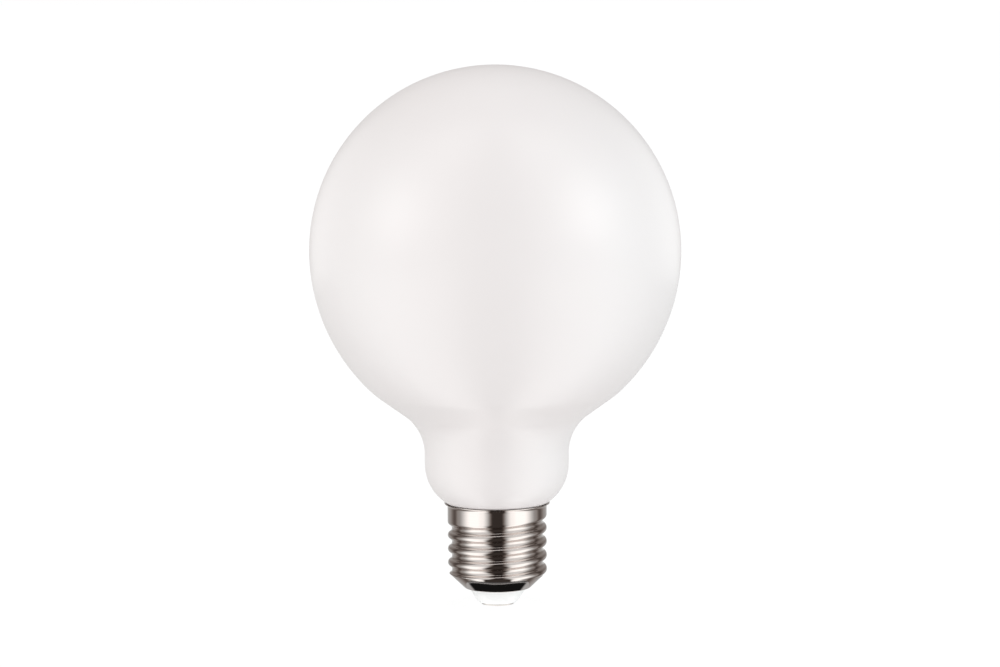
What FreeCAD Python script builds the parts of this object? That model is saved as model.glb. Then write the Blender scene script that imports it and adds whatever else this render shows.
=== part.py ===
"""Opal globe bulb with a 27 mm Edison screw cap, in millimetres.

The bulb stands on its cap: +Z runs along its axis from the centre contact (z = 0) to the top of the globe.
The cap is stacked up from the contact, the neck from the cap's rim, and the globe from the neck.
"""
import FreeCAD, Part
import math
import os

# Glass envelope
GLOBE_D = 96.8             # largest width of the globe
LOWER_ROUND = 50.1         # radius of the lower half's outline, a little flatter than the upper half
SHOULDER_BEND_R = 21.1     # tighter bend where the globe turns into the shoulder
SHOULDER_BEND_DEG = 7.65   # how far that bend turns
SHOULDER_STRAIGHT = 7.85   # straight slope between the bend and the neck fillet
NECK_FILLET_R = 13.0       # hollow curve from the shoulder into the neck
NECK_D = 37.75             # width of the neck
NECK_STRAIGHT = 2.65       # parallel stretch of the neck
THROAT_ROUND = 12.15       # rounding from the neck down into the cap's flared rim
THROAT_LENGTH = 11.0       # stretch of the envelope that is cemented inside the cap
SEAT_GAP = 0.15            # between the glass and the roll of the cap's rim
CEMENT_GAP = 0.3           # between the throat and the thread's roots

# Screw shell, rolled from sheet
CAP_HEIGHT = 27.0          # centre contact to the top of the rim
SHEET = 0.25               # sheet thickness
SHELL_D = 26.05            # collar and thread crests
THREAD_PITCH = 3.629       # seven turns to the inch
THREAD_DEPTH = 1.095       # crest to root
THREAD_END_DEG = 100.0     # where the top groove is half faded out, round from +X towards +Y
THREAD_FADE_DEG = 150.0    # stretch over which it fades
FLARE_R = 0.8              # outward roll of the rim
COLLAR_HEIGHT = 3.9        # from the rim's roll down to the top groove, on the +X side
TAPER_HEIGHT = 4.25        # from the crests down to the lip
TAPER_DEG = 44.0           # slope of the taper from the horizontal
BEND_R = 0.6               # inside radius of the bends at both ends of the taper
LIP_WIDTH = 0.9            # turned-in lip, from the corner that its bend rounds to the hole

# Insulator and centre contact
INSULATOR_DROP = 3.8       # how far the insulator stands below the lip
INSULATOR_TIP_D = 10.8     # width of its lower end
INSULATOR_EDGE = 0.4       # chamfer of that end
INSULATOR_FLANGE = 2.0     # height of the flange inside the lip
INSULATOR_CLEARANCE = 0.1  # between the insulator and the shell's lip
CONTACT_D = 8.6            # width of the contact's head
CONTACT_HEAD = 0.6         # height of the head
CONTACT_EDGE_R = 0.3       # rounding of the head
PIN_D = 2.2                # shank of the contact
PIN_PROUD = 1.0            # how far the shank stands out of the insulator inside the cap
PIN_CLEARANCE = 0.03       # between the shank and the insulator's hole

# Fineness of the rolled sheet's facets
RING_FACETS = 48           # round each ring
ROWS_PER_PITCH = 8         # rings to each turn of the thread
ROWS_PER_BEND = 2          # rings to each bend

# Worked out from the sizes above
SHELL_R = SHELL_D / 2
RIM_R = SHELL_R + FLARE_R
LIP_Z = CONTACT_HEAD + INSULATOR_DROP
TAPER_TOP_Z = LIP_Z + TAPER_HEIGHT
FLARE_Z = CAP_HEIGHT - SHEET - FLARE_R
TOP_GROOVE_Z = FLARE_Z - COLLAR_HEIGHT
LIP_CORNER_R = SHELL_R - TAPER_HEIGHT / math.tan(math.radians(TAPER_DEG))
LIP_HOLE_R = LIP_CORNER_R - LIP_WIDTH
BEND_RUN = math.tan(math.radians(TAPER_DEG / 2))
LIP_FLAT_R = LIP_CORNER_R - (BEND_R + SHEET) * BEND_RUN
AXIS = FreeCAD.Vector(0, 0, 1)
CENTRE = FreeCAD.Vector(0, 0, 0)


def point(radius, z):
    """A point of a half section, in the XZ plane."""
    return FreeCAD.Vector(radius, 0, z)


def polar(centre, radius, degrees):
    """(radius, z) of a point on an arc about a centre of the half section."""
    angle = math.radians(degrees)
    return centre[0] + radius * math.cos(angle), centre[1] + radius * math.sin(angle)


def line(start, end):
    return Part.LineSegment(point(*start), point(*end)).toShape()


def arc(centre, radius, start_deg, end_deg):
    places = [polar(centre, radius, a) for a in (start_deg, (start_deg + end_deg) / 2, end_deg)]
    return Part.Arc(*[point(*place) for place in places]).toShape()


def lines(corners):
    """Straight edges from corner to corner."""
    return [line(start, end) for start, end in zip(corners, corners[1:])]


def turned(edges):
    """Solid of revolution of a closed half section."""
    return Part.Face(Part.Wire(edges)).revolve(CENTRE, AXIS, 360)


def shoulder_slope():
    """Angle from the axis of the straight shoulder that the globe's bend and the neck's fillet both touch."""
    bend = math.radians(SHOULDER_BEND_DEG)
    outer = LOWER_ROUND - SHOULDER_BEND_R
    across = outer * math.cos(bend) + SHOULDER_BEND_R + NECK_FILLET_R
    along = outer * math.sin(bend) - SHOULDER_STRAIGHT
    reach = NECK_D / 2 + NECK_FILLET_R + LOWER_ROUND - GLOBE_D / 2
    slope = math.acos(reach / math.hypot(across, along)) + math.atan2(along, across)
    return math.degrees(slope)


def make_glass_globe():
    """Blown envelope: throat, neck, shoulder and globe in one outline of lines and tangent arcs.

    The throat's round lies beside the roll of the cap's rim, and runs on straight from there into the cap.
    """
    slope = shoulder_slope()
    globe_r = GLOBE_D / 2
    neck_r = NECK_D / 2
    throat_r = SHELL_R - THREAD_DEPTH - SHEET - CEMENT_GAP
    throat_end_z = CAP_HEIGHT - THROAT_LENGTH
    throat_x = neck_r - THROAT_ROUND
    seat_deg = math.degrees(math.acos((RIM_R - throat_x) / (THROAT_ROUND + SEAT_GAP + SHEET + FLARE_R)))
    throat_z = FLARE_Z + (RIM_R - throat_x) * math.tan(math.radians(seat_deg))
    seat = polar((throat_x, throat_z), THROAT_ROUND, -seat_deg)
    tuck_z = seat[1] - (seat[0] - throat_r) / math.tan(math.radians(seat_deg))
    neck_z = throat_z + NECK_STRAIGHT
    fillet = (neck_r + NECK_FILLET_R, neck_z)
    fillet_end = polar(fillet, NECK_FILLET_R, 180 - slope)
    bend_start = polar(fillet_end, SHOULDER_STRAIGHT, 90 - slope)
    bend = polar(bend_start, SHOULDER_BEND_R, 180 - slope)
    lower_deg = SHOULDER_BEND_DEG - slope
    bend_end = polar(bend, SHOULDER_BEND_R, lower_deg)
    lower = polar(bend_end, LOWER_ROUND, 180 + lower_deg)
    globe = (0, lower[1])
    inside_cap = [(0, throat_end_z), (throat_r, throat_end_z), (throat_r, tuck_z), seat]
    outline = lines(inside_cap) + [
        arc((throat_x, throat_z), THROAT_ROUND, -seat_deg, 0),
        line((neck_r, throat_z), (neck_r, neck_z)),
        arc(fillet, NECK_FILLET_R, 180, 180 - slope),
        line(fillet_end, bend_start),
        arc(bend, SHOULDER_BEND_R, -slope, lower_deg),
        arc(lower, LOWER_ROUND, lower_deg, 0),
        arc(globe, globe_r, 0, 90),
        line((0, globe[1] + globe_r), (0, throat_end_z)),
    ]
    return turned(outline)


def thread_radius(angle, z, inset):
    """Radius of the knuckle thread on a skin that lies inset below the outer one.

    Crests and roots are arcs that meet on the flanks. The top groove fades out along its helix.
    """
    quarter = THREAD_PITCH / 4
    half_depth = THREAD_DEPTH / 2
    round_r = (quarter**2 + half_depth**2) / (2 * half_depth)
    crest_r = round_r - inset
    root_r = round_r + inset
    turns = (z - TOP_GROOVE_Z) / THREAD_PITCH - angle / (2 * math.pi)
    groove = round(turns)
    from_root = abs(turns - groove) * THREAD_PITCH
    from_crest = THREAD_PITCH / 2 - from_root
    if from_root < root_r * quarter / round_r:
        depth = THREAD_DEPTH - round_r - inset + math.sqrt(root_r**2 - from_root**2)
    else:
        depth = crest_r - math.sqrt(crest_r**2 - from_crest**2)
    wound_deg = math.degrees(angle) + 360 * groove
    fade = min(1.0, max(0.0, (wound_deg - THREAD_END_DEG) / THREAD_FADE_DEG + 0.5))
    return SHELL_R - inset - depth * (1 - fade**2 * (3 - 2 * fade))


def spread(start, end, steps):
    """Evenly spaced (radius, z) points from start up to, but not at, end."""
    shares = [i / steps for i in range(steps)]
    return [(start[0] + (end[0] - start[0]) * s, start[1] + (end[1] - start[1]) * s) for s in shares]


def bend_points(centre, radius, start_deg, end_deg):
    """Points of a bend's arc, both ends included."""
    step = (end_deg - start_deg) / ROWS_PER_BEND
    return [polar(centre, radius, start_deg + step * i) for i in range(ROWS_PER_BEND + 1)]


def skin_rings(inset):
    """(radius, z, whether the thread cuts it) of each ring of a skin from rim to lip."""
    barrel_r = SHELL_R - inset
    bend_r = BEND_R + SHEET - inset
    slope_deg = TAPER_DEG - 90
    barrel_end = (barrel_r, TAPER_TOP_Z + (BEND_R + SHEET) * BEND_RUN)
    flare = bend_points((RIM_R, FLARE_Z), FLARE_R + inset, 90, 180)
    taper_top = bend_points((barrel_end[0] - bend_r, barrel_end[1]), bend_r, 0, slope_deg)
    lip_bend = bend_points((LIP_FLAT_R, LIP_Z + BEND_R + SHEET), bend_r, slope_deg, -90)
    pitches = (FLARE_Z - barrel_end[1]) / THREAD_PITCH
    barrel = spread(flare[-1], barrel_end, math.ceil(pitches * ROWS_PER_PITCH))
    taper = spread(taper_top[-1], lip_bend[0], ROWS_PER_PITCH)
    rings = [(*place, False) for place in flare[:-1]]
    rings += [(*place, True) for place in barrel + taper_top[:-1] + taper]
    rings += [(*place, False) for place in lip_bend]
    return rings + [(LIP_HOLE_R, LIP_Z + inset, False)]


def make_screw_shell():
    """Rolled sheet: flared rim, collar, knuckle thread, taper and turned-in lip, both faces alike."""
    angles = [2 * math.pi * i / RING_FACETS for i in range(RING_FACETS)]
    loop = [(0, ring) for ring in skin_rings(0)]
    loop += [(SHEET, ring) for ring in reversed(skin_rings(SHEET))]
    points = []
    for inset, (radius, z, threaded) in loop:
        for angle in angles:
            reach = min(radius, thread_radius(angle, z, inset)) if threaded else radius
            points.append(FreeCAD.Vector(reach * math.cos(angle), reach * math.sin(angle), z))
    facets = []
    for row in range(len(loop)):
        upper = row * RING_FACETS
        lower = (row + 1) % len(loop) * RING_FACETS
        for i in range(RING_FACETS):
            j = (i + 1) % RING_FACETS
            facets.append((upper + i, lower + i, lower + j))
            facets.append((upper + i, lower + j, upper + j))
    sheet = Part.Shape()
    sheet.makeShapeFromMesh((points, facets), SHEET / 1000)
    return Part.makeSolid(sheet)


def make_insulator():
    """Moulded plug: flange on the shell's lip, a cone below it and a hole for the contact's shank."""
    hole_r = PIN_D / 2 + PIN_CLEARANCE
    body_r = LIP_HOLE_R - INSULATOR_CLEARANCE
    flange_r = LIP_FLAT_R - INSULATOR_CLEARANCE
    tip_r = INSULATOR_TIP_D / 2
    seat_z = LIP_Z + SHEET
    top_z = seat_z + INSULATOR_FLANGE
    corners = [
        (hole_r, CONTACT_HEAD),
        (tip_r - INSULATOR_EDGE, CONTACT_HEAD),
        (tip_r, CONTACT_HEAD + INSULATOR_EDGE),
        (body_r, LIP_Z),
        (body_r, seat_z),
        (flange_r, seat_z),
        (flange_r, top_z),
        (hole_r, top_z),
        (hole_r, CONTACT_HEAD),
    ]
    return turned(lines(corners))


def make_centre_contact():
    """Headed pin: a flat head with a rounded edge under the insulator and a shank through it."""
    head_r = CONTACT_D / 2
    pin_r = PIN_D / 2
    pin_top = LIP_Z + SHEET + INSULATOR_FLANGE + PIN_PROUD
    edge = (head_r - CONTACT_EDGE_R, CONTACT_EDGE_R)
    shank = [(head_r, CONTACT_HEAD), (pin_r, CONTACT_HEAD), (pin_r, pin_top), (0, pin_top), (0, 0)]
    outline = [
        line((0, 0), (edge[0], 0)),
        arc(edge, CONTACT_EDGE_R, -90, 0),
        line((head_r, CONTACT_EDGE_R), (head_r, CONTACT_HEAD)),
    ]
    return turned(outline + lines(shank))


if __name__ == "__main__":
    os.makedirs("parts", exist_ok=True)
    make_glass_globe().exportStep("parts/glass_globe.step")
    make_screw_shell().exportStep("parts/screw_shell.step")
    make_insulator().exportStep("parts/insulator.step")
    make_centre_contact().exportStep("parts/centre_contact.step")
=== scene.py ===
"""Looks of the opal globe bulb: smooth modelled pieces, their finishes, a light tent and the camera."""
import math

import bpy
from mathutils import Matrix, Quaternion, Vector


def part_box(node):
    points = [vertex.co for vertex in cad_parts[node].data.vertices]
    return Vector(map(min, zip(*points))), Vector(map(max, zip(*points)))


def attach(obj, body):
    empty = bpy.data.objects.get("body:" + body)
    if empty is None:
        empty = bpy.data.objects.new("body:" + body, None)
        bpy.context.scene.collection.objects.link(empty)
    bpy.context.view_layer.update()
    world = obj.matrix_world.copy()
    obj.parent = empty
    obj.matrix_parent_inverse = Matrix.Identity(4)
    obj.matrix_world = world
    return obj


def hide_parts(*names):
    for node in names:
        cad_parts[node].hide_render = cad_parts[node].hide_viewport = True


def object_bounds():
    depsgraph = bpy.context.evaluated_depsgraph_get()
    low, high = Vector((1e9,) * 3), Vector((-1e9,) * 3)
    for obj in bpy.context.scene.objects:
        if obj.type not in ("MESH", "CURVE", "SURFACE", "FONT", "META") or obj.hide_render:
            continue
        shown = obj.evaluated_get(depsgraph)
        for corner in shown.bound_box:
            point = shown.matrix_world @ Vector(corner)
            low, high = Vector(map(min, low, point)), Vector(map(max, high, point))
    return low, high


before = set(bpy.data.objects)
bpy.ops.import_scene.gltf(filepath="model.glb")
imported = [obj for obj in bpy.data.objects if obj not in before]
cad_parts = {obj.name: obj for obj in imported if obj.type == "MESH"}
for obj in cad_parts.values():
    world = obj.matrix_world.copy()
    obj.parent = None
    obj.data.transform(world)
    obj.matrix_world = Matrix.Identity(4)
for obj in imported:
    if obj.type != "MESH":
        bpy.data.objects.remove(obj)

cad_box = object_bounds()

MM = 0.001                  # the sizes below are in metres

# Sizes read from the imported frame
glass_low, glass_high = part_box("glass_globe")
shell_low, shell_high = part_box("screw_shell")
plug_low, plug_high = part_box("insulator")
contact_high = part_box("centre_contact")[1]
GLOBE_R = glass_high.x
GLOBE_TOP_Z = glass_high.z
GLOBE_CENTRE = Vector((0, 0, GLOBE_TOP_Z - GLOBE_R))
THROAT_END_Z = glass_low.z
RIM_R = shell_high.x
RIM_Z = shell_high.z
LIP_Z = shell_low.z
PLUG_FLANGE_R = plug_high.x
PLUG_TOP_Z = plug_high.z
CONTACT_R = contact_high.x
CONTACT_HEAD = plug_low.z
PIN_TOP_Z = contact_high.z

# Glass outline, from the globe down to the rim
LOWER_ROUND = 50.1 * MM
SHOULDER_BEND_R = 21.1 * MM
SHOULDER_BEND_DEG = 7.65
SHOULDER_STRAIGHT = 7.85 * MM
NECK_FILLET_R = 13.0 * MM
NECK_R = 18.875 * MM
THROAT_ROUND = 12.15 * MM
THROAT_R = 11.38 * MM
SEAT_GAP = 0.15 * MM

# Screw shell
SHEET = 0.25 * MM
FLARE_R = 0.8 * MM
SHELL_R = RIM_R - FLARE_R
FLARE_Z = RIM_Z - SHEET - FLARE_R
THREAD_PITCH = 3.629 * MM
THREAD_DEPTH = 1.095 * MM
THREAD_END_DEG = 100.0
THREAD_FADE_DEG = 150.0
TOP_GROOVE_Z = FLARE_Z - 3.9 * MM
TAPER_HEIGHT = 4.25 * MM
TAPER_DEG = 44.0
BEND_R = 0.6 * MM
LIP_CORNER_R = SHELL_R - TAPER_HEIGHT / math.tan(math.radians(TAPER_DEG))
LIP_HOLE_R = LIP_CORNER_R - 0.9 * MM
SHEET_EDGE = 0.06 * MM

# Insulator and contact
PLUG_BODY_R = LIP_HOLE_R - 0.1 * MM
PLUG_TIP_R = 5.4 * MM
PLUG_EDGE = 0.4 * MM
PIN_R = 1.1 * MM
PIN_HOLE_R = 1.13 * MM
CONTACT_EDGE_R = 0.3 * MM
MOULD_EDGE = 0.15 * MM

# Fineness of the meshes
ROUND_STEPS = 240
GLOBE_ARC_DEG = 2.0         # turn of each step along the globe's large arcs
SMALL_ARC_DEG = 9.0         # turn of each step along bends and fillets
OUTER_ROW = 0.1 * MM
INNER_ROW = 0.35 * MM
MERGE = 0.1 * MM / 1000
GLASS_SMOOTH_DEG = 20       # faces that meet at a smaller angle are shaded as one
CAP_SMOOTH_DEG = 35
SHEET_EDGE_DEG = 60         # edges sharper than this are rounded
MOULD_EDGE_DEG = 30

# Finishes: the two colours and the two roughnesses that a pattern goes between, and its relief
OPAL_COLOURS = ((0.878, 0.826, 0.818), (0.886, 0.834, 0.826))
OPAL_GLOSS = (0.28, 0.32)
OPAL_IOR = 1.5
NICKEL_COLOURS = ((0.64, 0.59, 0.565), (0.70, 0.655, 0.63))
NICKEL_GLOSS = (0.03, 0.08)
NICKEL_RELIEF = 0.0015 * MM
CONTACT_COLOURS = ((0.56, 0.53, 0.50), (0.70, 0.67, 0.64))
CONTACT_GLOSS = (0.22, 0.38)
CONTACT_RELIEF = 0.004 * MM
MOULDING_COLOURS = ((0.89, 0.885, 0.88), (0.91, 0.905, 0.9))
MOULDING_GLOSS = (0.34, 0.46)
MOULDING_RELIEF = 0.006 * MM
RING_SHARE = 0.7            # how far turned marks follow the radius, against the height

# Camera, fitted to the photo's outline
CAMERA_DISTANCE = 0.915
CAMERA_HEIGHT = 0.1756
CAMERA_AIM_Z = 0.0715
CAMERA_SIDE = 1.09 * MM
CAMERA_ROLL = -0.0072
CAMERA_LENS = 126.96
SENSOR_WIDTH = 36.0

# Studio: a white floor, soft light from all round, and a tent that the polished cap and the glass mirror
FLOOR_SIZE = 16.0
FLOOR_GLOW = 0.88           # share of the floor's white that no shadow takes away
FLOOR_SHADE = 0.16          # share that the bulb's shadow can take away
FLOOR_BOUNCE = 0.97         # how much of the light the floor sends back to the bulb
SKY_LIGHT = 0.94
BACKGROUND_WHITE = 1.0
STAGE_STEPS = 96            # sides of the tent and of the stand
LAMP_DISTANCE = 0.8
LAMP_Z = 0.30
LAMP_SIZE = (0.6, 0.8)
# Each lamp's degrees from the camera, power and colour
LAMPS = {"left_lamp": (-80, 1.09, (0.81, 1.0, 1.0)), "right_lamp": (80, 1.42, (0.66, 0.94, 1.0))}
TABLE_LAMP_D = 50 * MM      # light from under the cap, as on a lit table
TABLE_LAMP_X = 8 * MM
TABLE_LAMP_Z = 0.05 * MM
TABLE_LAMP_POWER = 0.0022
TENT_R = 0.6
TENT_HEIGHT = 1.2
TENT_DROP = 0.3 * MM        # the tent's ground lies this far under the floor
TENT_LIGHT = 1.6            # radiance of the ground at the two bright sides
TENT_SHADE = (1.0, 0.79, 0.69)
TENT_WHITE = (1.0, 1.0, 0.99)
SHADE_LEVEL = 0.5           # radiance below which the cloth turns to its warm shade
SLOT_X = 4.2 * MM           # where the edges of the tent's dark slot start, beside the cap
SLOT_Y = -6.0 * MM
# Brightness of the tent by angle from the camera: dark slot, bright side, dark seam, paler back
TENT_SIDES = [(8, 0.03), (34, 0.9), (46, 1.0), (63, 1.0),
              (100, 0.24), (115, 0.08), (142, 0.26), (172, 0.42)]
# and by height: brightest on the ground
TENT_ROWS = [(0.0, 1.0), (0.02, 0.62), (0.6, 0.56), (0.95, 0.8)]
PANEL_DISTANCE = 0.55       # soft panels, mirrored in the globe
HALF_PLANE = 0.5            # a panel's half side before it is stretched to its size
# Each panel's degrees from the camera, height, size, and radiance in its middle
PANELS = {
    "left_panel": (-62, 0.29, (0.50, 0.62), 1.85),
    "right_panel": (62, 0.29, (0.50, 0.62), 2.45),
    "left_back_panel": (-132, 0.08, (0.85, 0.80), 0.75),
    "right_back_panel": (132, 0.08, (0.85, 0.80), 0.9),
}
STAND_REFLECTION_X = 11.3 * MM         # half width and half depth of the oval stand, a painted reflection seen only in the cap's taper
STAND_REFLECTION_Y = 9.85 * MM
STAND_REFLECTION_STEP = TENT_DROP / 5  # each layer's height over the one below
# Layers of the painted stand reflection from the lowest up: how far each reaches past the oval, and its
# light in front
STAND_REFLECTION_LAYERS = [("stand_reflection_shade", 0.5 * MM, 0.1), ("stand_reflection_ring", 0.14 * MM, 0.5), ("stand_reflection_top", 0.0, 0.01),
                ("stand_reflection_middle", -3.2 * MM, 1.4)]
STAND_REFLECTION_FRONT_Y = -3.2 * MM   # the painted reflection turns pale between these two depths
STAND_REFLECTION_BACK_Y = -1.6 * MM
STAND_REFLECTION_LIGHT = 0.5


def polar(centre, radius, degrees):
    """A point of a half section, at an angle and a distance from a centre."""
    angle = math.radians(degrees)
    return centre[0] + radius * math.cos(angle), centre[1] + radius * math.sin(angle)


def arc(centre, radius, start_deg, end_deg, step_deg):
    """Points along an arc of a half section, both ends included."""
    steps = max(2, math.ceil(abs(end_deg - start_deg) / step_deg))
    turn = (end_deg - start_deg) / steps
    return [polar(centre, radius, start_deg + turn * i) for i in range(steps + 1)]


def straight(start, end, row):
    """Points along a straight stretch, without its two ends."""
    steps = math.ceil(math.dist(start, end) / row)
    shares = [i / steps for i in range(1, steps)]
    return [(start[0] + (end[0] - start[0]) * s, start[1] + (end[1] - start[1]) * s) for s in shares]


def spin_piece(name, outline):
    """Piece turned about the bulb's axis from a half section that is drawn point by point."""
    bpy.ops.object.select_all(action="DESELECT")
    bpy.ops.mesh.primitive_plane_add(size=MM, location=(0, 0, 0))
    piece = bpy.context.object
    piece.name = name
    piece.data.name = name
    bpy.ops.object.mode_set(mode="EDIT")
    bpy.ops.mesh.select_mode(type="VERT")
    bpy.ops.mesh.select_all(action="SELECT")
    bpy.ops.mesh.merge(type="CENTER")
    bpy.ops.transform.translate(value=(outline[0][0], 0, outline[0][1]))
    here = outline[0]
    for place in outline[1:]:
        step = (place[0] - here[0], 0, place[1] - here[1])
        bpy.ops.mesh.extrude_region_move(TRANSFORM_OT_translate={"value": step})
        here = place
    bpy.ops.mesh.select_all(action="SELECT")
    bpy.ops.mesh.spin(steps=ROUND_STEPS, angle=2 * math.pi, center=(0, 0, 0), axis=(0, 0, 1))
    bpy.ops.mesh.select_all(action="SELECT")
    bpy.ops.mesh.remove_doubles(threshold=MERGE)
    bpy.ops.mesh.normals_make_consistent(inside=False)
    bpy.ops.object.mode_set(mode="OBJECT")
    return piece


def apply_modifier(piece, kind, **settings):
    """Add a modifier with its settings and make it part of the mesh."""
    modifier = piece.modifiers.new(kind.lower(), kind)
    for key, value in settings.items():
        setattr(modifier, key, value)
    bpy.context.view_layer.objects.active = piece
    bpy.ops.object.modifier_apply(modifier=modifier.name)


def smooth(piece, degrees):
    """Shade a piece smooth, apart from edges sharper than the angle."""
    bpy.ops.object.select_all(action="DESELECT")
    piece.select_set(True)
    bpy.context.view_layer.objects.active = piece
    bpy.ops.object.shade_smooth_by_angle(angle=math.radians(degrees))


def settle(piece, node, material):
    """Dress a finished piece and let it stand for its solid on the bulb's one body."""
    piece.data.materials.clear()
    piece.data.materials.append(material)
    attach(piece, "root")
    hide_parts(node)


def shoulder_slope():
    """Angle from the axis of the straight shoulder, which the bend and the neck's fillet both touch."""
    bend = math.radians(SHOULDER_BEND_DEG)
    outer = LOWER_ROUND - SHOULDER_BEND_R
    across = outer * math.cos(bend) + SHOULDER_BEND_R + NECK_FILLET_R
    along = outer * math.sin(bend) - SHOULDER_STRAIGHT
    reach = NECK_R + NECK_FILLET_R + LOWER_ROUND - GLOBE_R
    slope = math.acos(reach / math.hypot(across, along)) + math.atan2(along, across)
    return math.degrees(slope)


def model_envelope():
    """Blown glass: globe, shoulder, neck and throat in one smooth skin."""
    slope = shoulder_slope()
    lower_deg = SHOULDER_BEND_DEG - slope
    globe = (0, GLOBE_TOP_Z - GLOBE_R)
    lower = (GLOBE_R - LOWER_ROUND, globe[1])
    bend_end = polar(lower, LOWER_ROUND, lower_deg)
    bend = polar(bend_end, SHOULDER_BEND_R, 180 + lower_deg)
    bend_start = polar(bend, SHOULDER_BEND_R, -slope)
    fillet_end = polar(bend_start, SHOULDER_STRAIGHT, 270 - slope)
    fillet = polar(fillet_end, NECK_FILLET_R, -slope)
    throat_x = NECK_R - THROAT_ROUND
    seat_deg = math.degrees(math.acos((RIM_R - throat_x) / (THROAT_ROUND + SEAT_GAP + SHEET + FLARE_R)))
    throat_z = FLARE_Z + (RIM_R - throat_x) * math.tan(math.radians(seat_deg))
    seat = polar((throat_x, throat_z), THROAT_ROUND, -seat_deg)
    tuck_z = seat[1] - (seat[0] - THROAT_R) / math.tan(math.radians(seat_deg))
    outline = arc(globe, GLOBE_R, 90, 0, GLOBE_ARC_DEG)
    outline += arc(lower, LOWER_ROUND, 0, lower_deg, GLOBE_ARC_DEG)[1:]
    outline += arc(bend, SHOULDER_BEND_R, lower_deg, -slope, GLOBE_ARC_DEG)[1:]
    outline += straight(bend_start, fillet_end, MM)
    outline += arc(fillet, NECK_FILLET_R, 180 - slope, 180, GLOBE_ARC_DEG)
    outline += arc((throat_x, throat_z), THROAT_ROUND, 0, -seat_deg, GLOBE_ARC_DEG)
    outline += [(THROAT_R, tuck_z), (THROAT_R, THROAT_END_Z), (0, THROAT_END_Z)]
    envelope = spin_piece("glass_envelope", outline)
    smooth(envelope, GLASS_SMOOTH_DEG)
    return envelope


def thread_radius(angle, z, inset):
    """Radius of the rolled knuckle thread on a skin that lies inset below the outer one.

    Crests and roots are arcs that meet on the flanks. The top groove fades out along its helix.
    """
    quarter = THREAD_PITCH / 4
    half_depth = THREAD_DEPTH / 2
    round_r = (quarter**2 + half_depth**2) / (2 * half_depth)
    crest_r = round_r - inset
    root_r = round_r + inset
    turns = (z - TOP_GROOVE_Z) / THREAD_PITCH - angle / (2 * math.pi)
    groove = round(turns)
    from_root = abs(turns - groove) * THREAD_PITCH
    from_crest = THREAD_PITCH / 2 - from_root
    if from_root < root_r * quarter / round_r:
        depth = THREAD_DEPTH - round_r - inset + math.sqrt(root_r**2 - from_root**2)
    else:
        depth = crest_r - math.sqrt(crest_r**2 - from_crest**2)
    wound_deg = math.degrees(angle) + 360 * groove
    fade = min(1.0, max(0.0, (wound_deg - THREAD_END_DEG) / THREAD_FADE_DEG + 0.5))
    return SHELL_R - inset - depth * (1 - fade**2 * (3 - 2 * fade))


def roll_skin(name, inset, row):
    """One face of the shell: a plain cup is spun, then the thread is rolled into its wall."""
    slope_deg = TAPER_DEG - 90
    bend_run = (BEND_R + SHEET) * math.tan(math.radians(TAPER_DEG / 2))
    bend_r = BEND_R + SHEET - inset
    barrel_end = (SHELL_R - inset, LIP_Z + TAPER_HEIGHT + bend_run)
    flare = arc((RIM_R, FLARE_Z), FLARE_R + inset, 90, 180, SMALL_ARC_DEG)
    taper_top = arc((SHELL_R - BEND_R - SHEET, barrel_end[1]), bend_r, 0, slope_deg, SMALL_ARC_DEG)
    lip_bend = arc((LIP_CORNER_R - bend_run, LIP_Z + BEND_R + SHEET), bend_r, slope_deg, -90, SMALL_ARC_DEG)
    outline = flare + straight(flare[-1], barrel_end, row) + taper_top
    outline += straight(taper_top[-1], lip_bend[0], row) + lip_bend + [(LIP_HOLE_R, LIP_Z + inset)]
    skin = spin_piece(name, outline)
    for vertex in skin.data.vertices:
        x, y, z = vertex.co
        if lip_bend[0][1] < z < FLARE_Z:
            rolled = min(1.0, thread_radius(math.atan2(y, x), z, inset) / math.hypot(x, y))
            vertex.co = (x * rolled, y * rolled, z)
    return skin


def model_shell():
    """Screw shell: outer and inner face of the rolled sheet, joined along the rim and along the lip."""
    shell = roll_skin("cap_shell", 0.0, OUTER_ROW)
    inner = roll_skin("cap_shell_inside", SHEET, INNER_ROW)
    bpy.ops.object.select_all(action="DESELECT")
    inner.select_set(True)
    shell.select_set(True)
    bpy.context.view_layer.objects.active = shell
    bpy.ops.object.join()
    for edge_z in (RIM_Z, LIP_Z):
        bpy.ops.object.mode_set(mode="EDIT")
        bpy.ops.mesh.select_mode(type="EDGE")
        bpy.ops.mesh.select_all(action="SELECT")
        bpy.ops.mesh.region_to_loop()
        bpy.ops.object.mode_set(mode="OBJECT")
        for edge in shell.data.edges:
            ends = [shell.data.vertices[i].co.z for i in edge.vertices]
            edge.select = edge.select and max(abs(z - edge_z) for z in ends) < 2 * SHEET
        bpy.ops.object.mode_set(mode="EDIT")
        bpy.ops.mesh.bridge_edge_loops()
    bpy.ops.mesh.select_all(action="SELECT")
    bpy.ops.mesh.normals_make_consistent(inside=False)
    bpy.ops.object.mode_set(mode="OBJECT")
    apply_modifier(shell, "BEVEL", width=SHEET_EDGE, segments=2, limit_method="ANGLE",
                   angle_limit=math.radians(SHEET_EDGE_DEG))
    smooth(shell, CAP_SMOOTH_DEG)
    return shell


def model_plug():
    """Moulded insulator with softened edges: flange inside the lip, cone below it, hole for the pin."""
    outline = [
        (PIN_HOLE_R, CONTACT_HEAD),
        (PLUG_TIP_R - PLUG_EDGE, CONTACT_HEAD),
        (PLUG_TIP_R, CONTACT_HEAD + PLUG_EDGE),
        (PLUG_BODY_R, LIP_Z),
        (PLUG_BODY_R, LIP_Z + SHEET),
        (PLUG_FLANGE_R, LIP_Z + SHEET),
        (PLUG_FLANGE_R, PLUG_TOP_Z),
        (PIN_HOLE_R, PLUG_TOP_Z),
        (PIN_HOLE_R, CONTACT_HEAD),
    ]
    plug = spin_piece("insulator_plug", outline)
    apply_modifier(plug, "BEVEL", width=MOULD_EDGE, segments=3, limit_method="ANGLE",
                   angle_limit=math.radians(MOULD_EDGE_DEG))
    smooth(plug, CAP_SMOOTH_DEG)
    return plug


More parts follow.
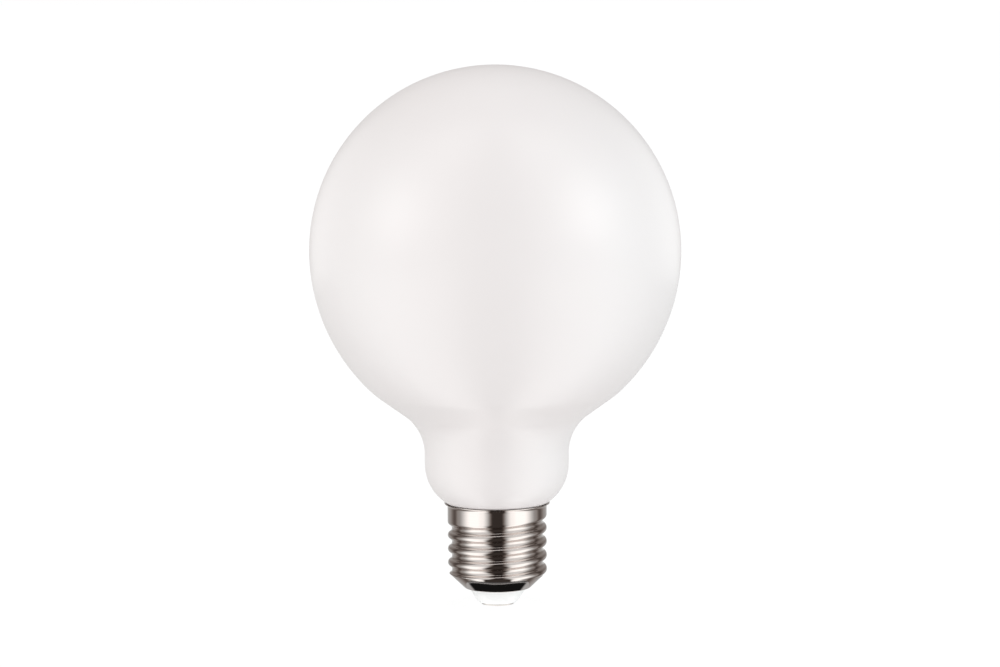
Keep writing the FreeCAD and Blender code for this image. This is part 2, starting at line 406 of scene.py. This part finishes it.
def model_contact():
    """Headed contact pin: a flat head with a rounded edge and a shank up through the insulator."""
    edge = (CONTACT_R - CONTACT_EDGE_R, CONTACT_EDGE_R)
    outline = [(0, 0)] + arc(edge, CONTACT_EDGE_R, -90, 0, SMALL_ARC_DEG)
    outline += [(CONTACT_R, CONTACT_HEAD), (PIN_R, CONTACT_HEAD), (PIN_R, PIN_TOP_Z), (0, PIN_TOP_Z)]
    contact = spin_piece("contact_pin", outline)
    smooth(contact, CAP_SMOOTH_DEG)
    return contact


def node(tree, kind, x, y, **values):
    """A node at a place in the editor, with its settings."""
    made = tree.nodes.new(kind)
    made.location = (x, y)
    for key, value in values.items():
        setattr(made, key, value)
    return made


def new_material(name):
    """A material with a Principled shader, its tree and that shader."""
    material = bpy.data.materials.new(name)
    material.use_nodes = True
    return material, material.node_tree, material.node_tree.nodes["Principled BSDF"]


def build_mottle_group():
    """Soft cloudy variation, for the glass and the moulding: a mask from 0 to 1."""
    group = bpy.data.node_groups.new("cloudy_mottle", "ShaderNodeTree")
    group.interface.new_socket("Cloud Size", in_out="INPUT", socket_type="NodeSocketFloat")
    group.interface.new_socket("Mask", in_out="OUTPUT", socket_type="NodeSocketFloat")
    entry = node(group, "NodeGroupInput", -700, 0)
    leave = node(group, "NodeGroupOutput", 300, 0)
    coordinates = node(group, "ShaderNodeTexCoord", -700, -200)
    scaled = node(group, "ShaderNodeVectorMath", -450, -100, operation="SCALE")
    cloud = node(group, "ShaderNodeTexNoise", -200, -100)
    cloud.inputs["Scale"].default_value = 1.0
    cloud.inputs["Detail"].default_value = 3.0
    spread = node(group, "ShaderNodeMapRange", 50, -100)
    spread.inputs["From Min"].default_value = 0.2
    spread.inputs["From Max"].default_value = 0.8
    group.links.new(coordinates.outputs["Object"], scaled.inputs[0])
    group.links.new(entry.outputs["Cloud Size"], scaled.inputs["Scale"])
    group.links.new(scaled.outputs["Vector"], cloud.inputs["Vector"])
    group.links.new(cloud.outputs["Fac"], spread.inputs["Value"])
    group.links.new(spread.outputs["Result"], leave.inputs["Mask"])
    return group


def build_turned_group():
    """Fine marks that run round the axis, as rolling and turning leave them: a mask from 0 to 1."""
    group = bpy.data.node_groups.new("turned_marks", "ShaderNodeTree")
    group.interface.new_socket("Marks", in_out="INPUT", socket_type="NodeSocketFloat")
    group.interface.new_socket("Runs", in_out="INPUT", socket_type="NodeSocketFloat")
    group.interface.new_socket("Mask", in_out="OUTPUT", socket_type="NodeSocketFloat")
    entry = node(group, "NodeGroupInput", -1100, 0)
    leave = node(group, "NodeGroupOutput", 500, 0)
    coordinates = node(group, "ShaderNodeTexCoord", -1100, -250)
    split = node(group, "ShaderNodeSeparateXYZ", -900, -250)
    flat = node(group, "ShaderNodeCombineXYZ", -700, -350)
    radius = node(group, "ShaderNodeVectorMath", -500, -350, operation="LENGTH")
    along = node(group, "ShaderNodeMath", -300, -300, operation="MULTIPLY_ADD")
    along.inputs[1].default_value = RING_SHARE
    fine = node(group, "ShaderNodeMath", -100, -250, operation="MULTIPLY")
    run_x = node(group, "ShaderNodeMath", -300, 0, operation="MULTIPLY")
    run_y = node(group, "ShaderNodeMath", -300, -120, operation="MULTIPLY")
    joined = node(group, "ShaderNodeCombineXYZ", 50, -100)
    marks = node(group, "ShaderNodeTexNoise", 220, -100)
    marks.inputs["Scale"].default_value = 1.0
    marks.inputs["Detail"].default_value = 4.0
    group.links.new(coordinates.outputs["Object"], split.inputs["Vector"])
    group.links.new(split.outputs["X"], flat.inputs["X"])
    group.links.new(split.outputs["Y"], flat.inputs["Y"])
    group.links.new(flat.outputs["Vector"], radius.inputs[0])
    group.links.new(radius.outputs["Value"], along.inputs[0])
    group.links.new(split.outputs["Z"], along.inputs[2])
    group.links.new(along.outputs["Value"], fine.inputs[0])
    group.links.new(entry.outputs["Marks"], fine.inputs[1])
    group.links.new(split.outputs["X"], run_x.inputs[0])
    group.links.new(entry.outputs["Runs"], run_x.inputs[1])
    group.links.new(split.outputs["Y"], run_y.inputs[0])
    group.links.new(entry.outputs["Runs"], run_y.inputs[1])
    group.links.new(run_x.outputs["Value"], joined.inputs["X"])
    group.links.new(run_y.outputs["Value"], joined.inputs["Y"])
    group.links.new(fine.outputs["Value"], joined.inputs["Z"])
    group.links.new(joined.outputs["Vector"], marks.inputs["Vector"])
    group.links.new(marks.outputs["Fac"], leave.inputs["Mask"])
    return group


def place_group(tree, group, x, y, **values):
    """A node group in a material, with its own values on the named inputs."""
    placed = node(tree, "ShaderNodeGroup", x, y, node_tree=group)
    for key, value in values.items():
        placed.inputs[key.replace("_", " ")].default_value = value
    return placed


def colour_between(tree, mask, low, high, x, y):
    """Colour that goes from low to high as the mask goes from 0 to 1."""
    mix = node(tree, "ShaderNodeMix", x, y, data_type="RGBA")
    mix.inputs["A"].default_value = (*low, 1.0)
    mix.inputs["B"].default_value = (*high, 1.0)
    tree.links.new(mask, mix.inputs["Factor"])
    return mix.outputs["Result"]


def value_between(tree, mask, low, high, x, y):
    """Value that goes from low to high as the mask goes from 0 to 1."""
    spread = node(tree, "ShaderNodeMapRange", x, y)
    spread.inputs["To Min"].default_value = low
    spread.inputs["To Max"].default_value = high
    tree.links.new(mask, spread.inputs["Value"])
    return spread.outputs["Result"]


def bump_from(tree, mask, distance, x, y):
    """Surface normal that follows a mask as a height."""
    bump = node(tree, "ShaderNodeBump", x, y)
    bump.inputs["Strength"].default_value = 1.0
    bump.inputs["Distance"].default_value = distance
    tree.links.new(mask, bump.inputs["Height"])
    return bump.outputs["Normal"]


def follow_mask(tree, shader, mask, colours, gloss):
    """Colour and roughness that each go between two values as the mask goes from 0 to 1."""
    tree.links.new(colour_between(tree, mask, *colours, -450, 300), shader.inputs["Base Color"])
    tree.links.new(value_between(tree, mask, *gloss, -450, 50), shader.inputs["Roughness"])


def finish_opal(mottle):
    """Milky glass: faint clouds in the white and in the soft gloss."""
    material, tree, shader = new_material("opal_glass")
    clouds = place_group(tree, mottle, -800, 100, Cloud_Size=45.0).outputs["Mask"]
    follow_mask(tree, shader, clouds, OPAL_COLOURS, OPAL_GLOSS)
    shader.inputs["IOR"].default_value = OPAL_IOR
    return material


def finish_nickel(turned):
    """Polished nickel plate with the faint rings that rolling leaves."""
    material, tree, shader = new_material("nickel_plate")
    marks = place_group(tree, turned, -800, 100, Marks=6000.0, Runs=90.0).outputs["Mask"]
    follow_mask(tree, shader, marks, NICKEL_COLOURS, NICKEL_GLOSS)
    tree.links.new(bump_from(tree, marks, NICKEL_RELIEF, -450, -200), shader.inputs["Normal"])
    shader.inputs["Metallic"].default_value = 1.0
    return material


def finish_contact(turned):
    """Nickel of the contact, turned in fine rings and duller than the shell."""
    material, tree, shader = new_material("contact_nickel")
    marks = place_group(tree, turned, -800, 100, Marks=9000.0, Runs=200.0).outputs["Mask"]
    follow_mask(tree, shader, marks, CONTACT_COLOURS, CONTACT_GLOSS)
    tree.links.new(bump_from(tree, marks, CONTACT_RELIEF, -450, -200), shader.inputs["Normal"])
    shader.inputs["Metallic"].default_value = 1.0
    return material


def finish_moulding(mottle):
    """White moulded insulator with a slight grain."""
    material, tree, shader = new_material("moulded_white")
    grain = place_group(tree, mottle, -800, 100, Cloud_Size=1500.0).outputs["Mask"]
    follow_mask(tree, shader, grain, MOULDING_COLOURS, MOULDING_GLOSS)
    tree.links.new(bump_from(tree, grain, MOULDING_RELIEF, -450, -200), shader.inputs["Normal"])
    return material


def seen_directly(tree, x, y):
    """1 for rays from the camera, from a reflection or through glass, 0 for rays that carry light."""
    path = node(tree, "ShaderNodeLightPath", x, y)
    first = node(tree, "ShaderNodeMath", x + 200, y, operation="MAXIMUM")
    second = node(tree, "ShaderNodeMath", x + 400, y, operation="MAXIMUM")
    tree.links.new(path.outputs["Is Camera Ray"], first.inputs[0])
    tree.links.new(path.outputs["Is Glossy Ray"], first.inputs[1])
    tree.links.new(first.outputs["Value"], second.inputs[0])
    tree.links.new(path.outputs["Is Transmission Ray"], second.inputs[1])
    return second.outputs["Value"]


def build_world():
    """Even light from all round, and the white that shows behind the bulb."""
    world = bpy.data.worlds.new("studio")
    bpy.context.scene.world = world
    world.use_nodes = True
    tree = world.node_tree
    background = tree.nodes["Background"]
    seen = seen_directly(tree, -900, 0)
    light = node(tree, "ShaderNodeMapRange", -250, 0)
    light.inputs["To Min"].default_value = SKY_LIGHT
    light.inputs["To Max"].default_value = BACKGROUND_WHITE
    tree.links.new(seen, light.inputs["Value"])
    tree.links.new(light.outputs["Result"], background.inputs["Strength"])
    background.inputs["Color"].default_value = (1.0, 1.0, 1.0, 1.0)


def build_floor():
    """White floor that keeps the bulb's shadow and sends light up to it."""
    bpy.ops.object.select_all(action="DESELECT")
    bpy.ops.mesh.primitive_plane_add(size=FLOOR_SIZE, location=(0, 0, cad_box[0][2]))
    floor = bpy.context.object
    floor.name = "floor"
    floor.visible_glossy = False
    material = bpy.data.materials.new("white_floor")
    material.use_nodes = True
    tree = material.node_tree
    tree.nodes.remove(tree.nodes["Principled BSDF"])
    out = tree.nodes["Material Output"]
    seen = seen_directly(tree, -900, 300)
    glow = node(tree, "ShaderNodeEmission", -300, 0)
    glow.inputs["Strength"].default_value = FLOOR_GLOW
    shade = node(tree, "ShaderNodeBsdfDiffuse", -300, -150)
    shade.inputs["Color"].default_value = (FLOOR_SHADE, FLOOR_SHADE, FLOOR_SHADE, 1.0)
    both = node(tree, "ShaderNodeAddShader", -100, 0)
    bounce = node(tree, "ShaderNodeBsdfDiffuse", -300, 200)
    bounce.inputs["Color"].default_value = (FLOOR_BOUNCE, FLOOR_BOUNCE, FLOOR_BOUNCE, 1.0)
    mix = node(tree, "ShaderNodeMixShader", 100, 100)
    tree.links.new(glow.outputs["Emission"], both.inputs[0])
    tree.links.new(shade.outputs["BSDF"], both.inputs[1])
    tree.links.new(seen, mix.inputs["Fac"])
    tree.links.new(bounce.outputs["BSDF"], mix.inputs[1])
    tree.links.new(both.outputs["Shader"], mix.inputs[2])
    tree.links.new(mix.outputs["Shader"], out.inputs["Surface"])
    floor.data.materials.append(material)


def ramp(tree, stops, x, y):
    """Soft steps of brightness along a value from 0 to 1."""
    made = node(tree, "ShaderNodeValToRGB", x, y)
    made.color_ramp.interpolation = "EASE"
    elements = made.color_ramp.elements
    while len(elements) < len(stops):
        elements.new(0.5)
    for element, (place, level) in zip(elements, stops):
        element.position = place
        element.color = (level, level, level, 1.0)
    return made


def glow_material(name):
    """A material that only shines, its tree and its Emission node."""
    material = bpy.data.materials.new(name)
    material.use_nodes = True
    tree = material.node_tree
    tree.nodes.remove(tree.nodes["Principled BSDF"])
    glow = node(tree, "ShaderNodeEmission", 600, 0)
    tree.links.new(glow.outputs["Emission"], tree.nodes["Material Output"].inputs["Surface"])
    return material, tree, glow


def only_mirrored(stage_piece):
    """Let a piece of the studio show in reflections alone."""
    stage_piece.visible_camera = False
    stage_piece.visible_diffuse = False
    stage_piece.visible_shadow = False
    stage_piece.visible_transmission = False


def build_tent():
    """Closed tent round the bulb: dark slot at the camera, bright sides, dark seams, gray back."""
    bpy.ops.object.select_all(action="DESELECT")
    bpy.ops.mesh.primitive_cylinder_add(vertices=STAGE_STEPS, radius=TENT_R, depth=TENT_HEIGHT,
                                        location=(0, 0, TENT_HEIGHT / 2 - TENT_DROP))
    tent = bpy.context.object
    tent.name = "light_tent"
    material, tree, glow = glow_material("tent_cloth")
    coordinates = node(tree, "ShaderNodeTexCoord", -1300, 0)
    split = node(tree, "ShaderNodeSeparateXYZ", -1100, 0)
    front = node(tree, "ShaderNodeMath", -900, -100, operation="SUBTRACT")
    front.inputs[0].default_value = SLOT_Y
    either = node(tree, "ShaderNodeMath", -1100, 200, operation="ABSOLUTE")
    outside = node(tree, "ShaderNodeMath", -900, 100, operation="SUBTRACT", use_clamp=True)
    outside.inputs[1].default_value = SLOT_X
    azimuth = node(tree, "ShaderNodeMath", -700, 0, operation="ARCTAN2")
    share = node(tree, "ShaderNodeMath", -500, 0, operation="DIVIDE")
    share.inputs[1].default_value = math.pi
    sides = ramp(tree, [(degrees / 180, level) for degrees, level in TENT_SIDES], -300, 0)
    up = node(tree, "ShaderNodeMapRange", -700, -300)
    up.inputs["From Min"].default_value = -TENT_HEIGHT / 2
    up.inputs["From Max"].default_value = TENT_HEIGHT / 2
    rows = ramp(tree, TENT_ROWS, -300, -300)
    both = node(tree, "ShaderNodeMath", 0, 0, operation="MULTIPLY")
    level = node(tree, "ShaderNodeMath", 200, 0, operation="MULTIPLY")
    level.inputs[1].default_value = TENT_LIGHT
    paleness = node(tree, "ShaderNodeMapRange", 200, -300)
    paleness.inputs["From Max"].default_value = SHADE_LEVEL
    colour = colour_between(tree, paleness.outputs["Result"], TENT_SHADE, TENT_WHITE, 400, -300)
    tree.links.new(coordinates.outputs["Object"], split.inputs["Vector"])
    tree.links.new(split.outputs["Y"], front.inputs[1])
    tree.links.new(split.outputs["X"], either.inputs[0])
    tree.links.new(either.outputs["Value"], outside.inputs[0])
    tree.links.new(outside.outputs["Value"], azimuth.inputs[0])
    tree.links.new(front.outputs["Value"], azimuth.inputs[1])
    tree.links.new(azimuth.outputs["Value"], share.inputs[0])
    tree.links.new(share.outputs["Value"], sides.inputs["Fac"])
    tree.links.new(split.outputs["Z"], up.inputs["Value"])
    tree.links.new(up.outputs["Result"], rows.inputs["Fac"])
    tree.links.new(sides.outputs["Color"], both.inputs[0])
    tree.links.new(rows.outputs["Color"], both.inputs[1])
    tree.links.new(both.outputs["Value"], level.inputs[0])
    tree.links.new(level.outputs["Value"], paleness.inputs["Value"])
    tree.links.new(level.outputs["Value"], glow.inputs["Strength"])
    tree.links.new(colour, glow.inputs["Color"])
    tent.data.materials.append(material)
    only_mirrored(tent)


def place_round(turn, distance, height):
    """A place round the bulb, its turn in degrees from the camera, to the right."""
    angle = math.radians(turn)
    return Vector((distance * math.sin(angle), -distance * math.cos(angle), height))


def build_panels(globe):
    """Soft panels, brightest in the middle, that the globe alone mirrors as faint highlights."""
    lit = bpy.data.collections.new("mirrors_panels")
    lit.objects.link(globe)
    for name, (turn, height, size, light) in PANELS.items():
        place = place_round(turn, PANEL_DISTANCE, height)
        bpy.ops.object.select_all(action="DESELECT")
        bpy.ops.mesh.primitive_plane_add(size=2 * HALF_PLANE, location=place)
        panel = bpy.context.object
        panel.name = name
        panel.scale = (*size, 1.0)
        panel.rotation_euler = (GLOBE_CENTRE - place).to_track_quat("Z", "Y").to_euler()
        material, tree, glow = glow_material(name)
        coordinates = node(tree, "ShaderNodeTexCoord", -700, 0)
        from_middle = node(tree, "ShaderNodeVectorMath", -500, 0, operation="SCALE")
        from_middle.inputs["Scale"].default_value = 1 / HALF_PLANE
        soft = node(tree, "ShaderNodeTexGradient", -300, 0, gradient_type="SPHERICAL")
        level = node(tree, "ShaderNodeMath", 300, 0, operation="MULTIPLY")
        level.inputs[1].default_value = light
        clear = node(tree, "ShaderNodeBsdfTransparent", 600, -200)
        both = node(tree, "ShaderNodeAddShader", 800, 0)
        tree.links.new(coordinates.outputs["Object"], from_middle.inputs[0])
        tree.links.new(from_middle.outputs["Vector"], soft.inputs["Vector"])
        tree.links.new(soft.outputs["Fac"], level.inputs[0])
        tree.links.new(level.outputs["Value"], glow.inputs["Strength"])
        tree.links.new(glow.outputs["Emission"], both.inputs[0])
        tree.links.new(clear.outputs["BSDF"], both.inputs[1])
        tree.links.new(both.outputs["Shader"], tree.nodes["Material Output"].inputs["Surface"])
        panel.data.materials.append(material)
        panel.light_linking.receiver_collection = lit
        only_mirrored(panel)


def build_stand_reflection():
    """Painted reflection of an oval stand under the bulb: dark in front, pale behind, with a pale ring and
    painted shade round it.
    """
    for i, (name, reach, front_light) in enumerate(STAND_REFLECTION_LAYERS):
        bpy.ops.object.select_all(action="DESELECT")
        bpy.ops.mesh.primitive_circle_add(vertices=STAGE_STEPS, radius=1.0, fill_type="NGON",
                                          location=(0, 0, (i - len(STAND_REFLECTION_LAYERS)) * STAND_REFLECTION_STEP))
        bpy.ops.transform.resize(value=(STAND_REFLECTION_X + reach, STAND_REFLECTION_Y + reach, 1.0))
        bpy.ops.object.transform_apply(location=False, rotation=False, scale=True)
        layer = bpy.context.object
        layer.name = name
        material, tree, glow = glow_material(name)
        coordinates = node(tree, "ShaderNodeTexCoord", -700, 0)
        split = node(tree, "ShaderNodeSeparateXYZ", -500, 0)
        level = node(tree, "ShaderNodeMapRange", 300, 0)
        level.inputs["From Min"].default_value = STAND_REFLECTION_FRONT_Y
        level.inputs["From Max"].default_value = STAND_REFLECTION_BACK_Y
        level.inputs["To Min"].default_value = front_light
        level.inputs["To Max"].default_value = STAND_REFLECTION_LIGHT
        tree.links.new(coordinates.outputs["Object"], split.inputs["Vector"])
        tree.links.new(split.outputs["Y"], level.inputs["Value"])
        tree.links.new(level.outputs["Result"], glow.inputs["Strength"])
        layer.data.materials.append(material)
        only_mirrored(layer)


def build_lamps():
    """Two large lamps at the sides that lift the edges of the globe."""
    for name, (turn, power, colour) in LAMPS.items():
        place = place_round(turn, LAMP_DISTANCE, LAMP_Z)
        bpy.ops.object.select_all(action="DESELECT")
        bpy.ops.object.light_add(type="AREA", location=place)
        lamp = bpy.context.object
        lamp.name = name
        lamp.rotation_euler = (GLOBE_CENTRE - place).to_track_quat("-Z", "Y").to_euler()
        lamp.data.shape = "RECTANGLE"
        lamp.data.size, lamp.data.size_y = LAMP_SIZE
        lamp.data.energy = power
        lamp.data.color = colour
        lamp.visible_glossy = False


def build_table_lamp():
    """Light from under the cap that lifts the insulator."""
    bpy.ops.object.select_all(action="DESELECT")
    bpy.ops.object.light_add(type="AREA", location=(TABLE_LAMP_X, 0, TABLE_LAMP_Z),
                             rotation=(math.pi, 0, 0))
    table = bpy.context.object
    table.name = "table_lamp"
    table.data.shape = "DISK"
    table.data.size = TABLE_LAMP_D
    table.data.energy = TABLE_LAMP_POWER
    table.visible_camera = False
    table.visible_glossy = False


def build_camera():
    """Camera fitted to the photo, with its slight roll."""
    data = bpy.data.cameras.new("camera")
    data.sensor_width = SENSOR_WIDTH
    data.lens = CAMERA_LENS
    camera = bpy.data.objects.new("camera", data)
    bpy.context.scene.collection.objects.link(camera)
    place = Vector((CAMERA_SIDE, -CAMERA_DISTANCE, CAMERA_HEIGHT))
    aim = Vector((CAMERA_SIDE, 0, CAMERA_AIM_Z))
    level = (aim - place).to_track_quat("-Z", "Y")
    camera.rotation_mode = "QUATERNION"
    camera.location = place
    camera.rotation_quaternion = level @ Quaternion((0, 0, 1), CAMERA_ROLL)
    bpy.context.scene.camera = camera


mottle_group = build_mottle_group()
turned_group = build_turned_group()
envelope = model_envelope()
settle(envelope, "glass_globe", finish_opal(mottle_group))
settle(model_shell(), "screw_shell", finish_nickel(turned_group))
settle(model_plug(), "insulator", finish_moulding(mottle_group))
settle(model_contact(), "centre_contact", finish_contact(turned_group))
build_world()
build_floor()
build_tent()
build_panels(envelope)
build_stand_reflection()
build_lamps()
build_table_lamp()
build_camera()
bpy.context.scene.view_settings.view_transform = "Standard"
